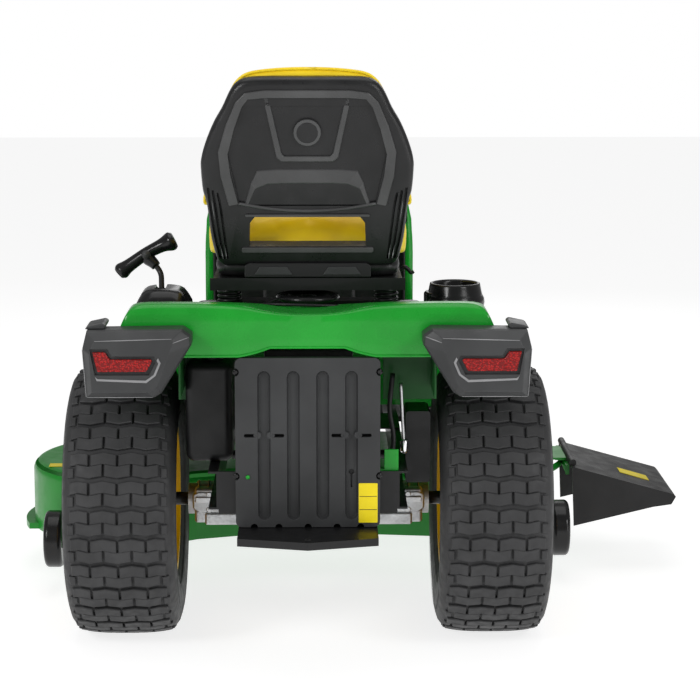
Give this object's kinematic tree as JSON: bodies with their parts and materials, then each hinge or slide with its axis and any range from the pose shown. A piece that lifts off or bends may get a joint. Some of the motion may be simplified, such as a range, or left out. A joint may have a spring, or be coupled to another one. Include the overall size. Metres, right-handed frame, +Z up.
{
  "type": "riding lawn mower",
  "caption": "Ride-on garden tractor with a mid-mounted mower deck, side discharge chute, tilting seat, opening hood and steered front wheels.",
  "frame": {"origin": "centre of the whole machine's footprint, on the ground", "axes": "+Z up, +Y forward along the machine, +X to the machine's right"},
  "size_m": [1.5049, 1.978, 1.1735],
  "materials": {
    "bare_aluminium": "cast",
    "bare_steel": "brushed",
    "black_gloss": "gloss",
    "black_iron": "rough",
    "black_paint": "satin",
    "black_plastic": "matte grained",
    "chromed": "polished",
    "clear_lens": "clear",
    "green_paint": "gloss",
    "green_plastic": "gloss",
    "grey_plastic": "satin grained",
    "red_lens": "clear",
    "rubber_tyre": "matte",
    "yellow_paint": "gloss",
    "yellow_plastic": "gloss",
    "yellow_vinyl": "satin"
  },
  "bodies": {
    "frame": {"frame_rail_left": "green_paint", "frame_rail_right": "green_paint", "frame_crossmembers": "black_paint", "hitch_plate": "black_paint", "rear_cover": "grey_plastic", "transaxle": "bare_aluminium", "fender_pan": "green_paint", "light_pod_left": "black_plastic", "light_pod_right": "black_plastic", "tail_lenses": "red_lens", "cup_holder": "black_plastic", "lever_console": "black_plastic", "fuel_tank": "black_plastic", "battery": "black_plastic", "side_guard": "black_plastic", "foot_platforms": "green_paint", "dash_pedestal": "black_plastic", "firewall": "bare_steel", "engine_block": "black_iron", "engine_shroud": "black_plastic", "muffler": "bare_steel", "seat_springs": "bare_steel"},
    "hood_body": {"hood": "green_plastic", "grille": "black_plastic", "headlights": "clear_lens"},
    "seat_base": {"seat_pan": "black_paint"},
    "seat": {"seat_shell": "grey_plastic", "back_cushion": "yellow_vinyl", "seat_cushion": "yellow_vinyl"},
    "seat_latch": {"seat_lever": "black_paint"},
    "axle_beam": {"front_axle": "black_paint"},
    "track_rod": {"tie_rod": "bare_steel"},
    "steering": {"steering_wheel": "black_plastic"},
    "deck": {"mower_deck": "green_paint", "belt_covers": "black_plastic"},
    "chute": {"discharge_chute": "black_plastic"},
    "rockshaft": {"lift_arms": "black_paint"},
    "lift_handle": {"lift_lever": "black_plastic"},
    "brake": {"brake_pedal": "black_paint"},
    "reverse": {"reverse_pedal": "black_paint"},
    "forward": {"forward_pedal": "black_paint"},
    "throttle": {"throttle_lever": "black_gloss"},
    "clutch_knob": {"pto_knob": "yellow_plastic"},
    "key": {"ignition_key": "chromed"},
    "tank_cap": {"fuel_cap": "black_plastic"},
    "rear_wheel_left": {"rear_tyre_left": "rubber_tyre", "rear_rim_left": "yellow_paint"},
    "front_wheel_left": {"front_tyre_left": "rubber_tyre", "front_rim_left": "yellow_paint"},
    "steering_left": {"spindle_left": "black_paint"},
    "gauge_left": {"gauge_wheel_left": "black_gloss"},
    "rear_wheel_right": {"rear_tyre_right": "rubber_tyre", "rear_rim_right": "yellow_paint"},
    "front_wheel_right": {"front_tyre_right": "rubber_tyre", "front_rim_right": "yellow_paint"},
    "steering_right": {"spindle_right": "black_paint"},
    "gauge_right": {"gauge_wheel_right": "black_gloss"},
    "spindle_blade_center": {"blade_center": "bare_steel"},
    "spindle_blade_left": {"blade_left": "bare_steel"},
    "spindle_blade_right": {"blade_right": "bare_steel"}
  },
  "joints": [
    {"name": "front_axle_pivot", "type": "hinge", "parent": "frame", "child": "axle_beam", "pos_m": [-0.0895, 0.681, 0.228], "axis": [0, 1, 0], "range_deg": [-8, 8]},
    {"name": "rear_wheel_left_roll", "type": "hinge", "parent": "frame", "child": "rear_wheel_left", "pos_m": [-0.4655, -0.569, 0.279], "axis": [1, 0, 0], "continuous": true},
    {"name": "steer_left", "type": "hinge", "parent": "axle_beam", "child": "steering_left", "pos_m": [-0.3995, 0.681, 0.19], "axis": [0, 0, 1], "range_deg": [-40, 40]},
    {"name": "front_wheel_left_roll", "type": "hinge", "parent": "steering_left", "child": "front_wheel_left", "pos_m": [-0.5045, 0.681, 0.19], "axis": [1, 0, 0], "continuous": true},
    {"name": "rear_wheel_right_roll", "type": "hinge", "parent": "frame", "child": "rear_wheel_right", "pos_m": [0.2865, -0.569, 0.279], "axis": [1, 0, 0], "continuous": true},
    {"name": "steer_right", "type": "hinge", "parent": "axle_beam", "child": "steering_right", "pos_m": [0.2205, 0.681, 0.19], "axis": [0, 0, 1], "range_deg": [-40, 40]},
    {"name": "front_wheel_right_roll", "type": "hinge", "parent": "steering_right", "child": "front_wheel_right", "pos_m": [0.3255, 0.681, 0.19], "axis": [1, 0, 0], "continuous": true},
    {"name": "tie_rod_end", "type": "hinge", "parent": "steering_left", "child": "track_rod", "pos_m": [-0.3995, 0.591, 0.16], "axis": [0, 0, 1], "range_deg": [-40, 40]},
    {"name": "steering_column", "type": "hinge", "parent": "frame", "child": "steering", "pos_m": [-0.0895, 0.031, 1.01], "axis": [0, -0.342, 0.9397], "range_deg": [-160, 160]},
    {"name": "hood_hinge", "type": "hinge", "parent": "frame", "child": "hood_body", "pos_m": [-0.0895, 0.871, 0.47], "axis": [-1, 0, 0], "range_deg": [0, 65]},
    {"name": "seat_tilt", "type": "hinge", "parent": "frame", "child": "seat_base", "pos_m": [-0.0895, -0.239, 0.74], "axis": [-1, 0, 0], "range_deg": [0, 60]},
    {"name": "seat_slide", "type": "slide", "parent": "seat_base", "child": "seat", "axis": [0, 1, 0], "range_m": [-0.06, 0.06]},
    {"name": "seat_lever_swing", "type": "hinge", "parent": "seat_base", "child": "seat_latch", "pos_m": [0.0505, -0.479, 0.745], "axis": [0, 0, -1], "range_deg": [0, 20], "stiffness_Nm_per_rad": 0.5},
    {"name": "deck_lift", "type": "slide", "parent": "frame", "child": "deck", "axis": [0, 0, 1], "range_m": [0, 0.055]},
    {"name": "lift_arm_turn", "type": "hinge", "parent": "frame", "child": "rockshaft", "pos_m": [-0.0895, -0.239, 0.3], "axis": [1, 0, 0], "range_deg": [0, 33]},
    {"name": "lift_lever_pull", "type": "hinge", "parent": "frame", "child": "lift_handle", "pos_m": [-0.4055, -0.389, 0.6], "axis": [1, 0, 0], "range_deg": [0, 36]},
    {"name": "chute_hinge", "type": "hinge", "parent": "deck", "child": "chute", "pos_m": [0.5165, 0.006, 0.252], "axis": [0, -1, 0], "range_deg": [0, 60]},
    {"name": "blade_center_spin", "type": "hinge", "parent": "deck", "child": "spindle_blade_center", "pos_m": [-0.1045, 0.071, 0.118], "axis": [0, 0, 1], "continuous": true},
    {"name": "blade_left_spin", "type": "hinge", "parent": "deck", "child": "spindle_blade_left", "pos_m": [-0.4895, -0.009, 0.118], "axis": [0, 0, 1], "continuous": true},
    {"name": "blade_right_spin", "type": "hinge", "parent": "deck", "child": "spindle_blade_right", "pos_m": [0.2805, 0.031, 0.118], "axis": [0, 0, 1], "continuous": true},
    {"name": "gauge_wheel_left_roll", "type": "hinge", "parent": "deck", "child": "gauge_left", "pos_m": [-0.6575, -0.269, 0.116], "axis": [1, 0, 0], "continuous": true},
    {"name": "gauge_wheel_right_roll", "type": "hinge", "parent": "deck", "child": "gauge_right", "pos_m": [0.4795, -0.184, 0.116], "axis": [1, 0, 0], "continuous": true},
    {"name": "brake_press", "type": "hinge", "parent": "frame", "child": "brake", "pos_m": [-0.4055, 0.296, 0.38], "axis": [-1, 0, 0], "range_deg": [0, 20], "stiffness_Nm_per_rad": 4, "springref_deg": -11.46},
    {"name": "forward_press", "type": "hinge", "parent": "frame", "child": "forward", "pos_m": [0.2855, 0.296, 0.38], "axis": [-1, 0, 0], "range_deg": [-12, 12], "stiffness_Nm_per_rad": 6},
    {"name": "reverse_press", "type": "hinge", "parent": "frame", "child": "reverse", "pos_m": [0.2085, 0.296, 0.38], "axis": [-1, 0, 0], "range_deg": [-12, 12], "stiffness_Nm_per_rad": 6},
    {"name": "throttle_swing", "type": "hinge", "parent": "frame", "child": "throttle", "pos_m": [0.0605, 0.125, 0.888], "axis": [1, 0, 0], "range_deg": [-14, 14]},
    {"name": "clutch_knob_pull", "type": "slide", "parent": "frame", "child": "clutch_knob", "axis": [0, 0, 1], "range_m": [0, 0.015]},
    {"name": "key_turn", "type": "hinge", "parent": "frame", "child": "key", "pos_m": [0.0205, 0.091, 0.898], "axis": [0, -0.309, 0.9511], "range_deg": [-90, 0]},
    {"name": "tank_cap_turn", "type": "hinge", "parent": "frame", "child": "tank_cap", "pos_m": [-0.2795, -0.719, 0.709], "axis": [0, 0, 1], "range_deg": [0, 180]}
  ],
  "couplings": [
    {"joint": "steer_right", "follows": "steer_left", "ratio": 1},
    {"joint": "tie_rod_end", "follows": "steer_left", "ratio": -1},
    {"joint": "steering_column", "follows": "steer_left", "ratio": 4},
    {"joint": "lift_arm_turn", "follows": "deck_lift", "rad_per_m": 10.246},
    {"joint": "lift_lever_pull", "follows": "deck_lift", "rad_per_m": 11.107},
    {"joint": "blade_left_spin", "follows": "blade_center_spin", "ratio": 1},
    {"joint": "blade_right_spin", "follows": "blade_center_spin", "ratio": 1},
    {"joint": "reverse_press", "follows": "forward_press", "ratio": -1}
  ]
}
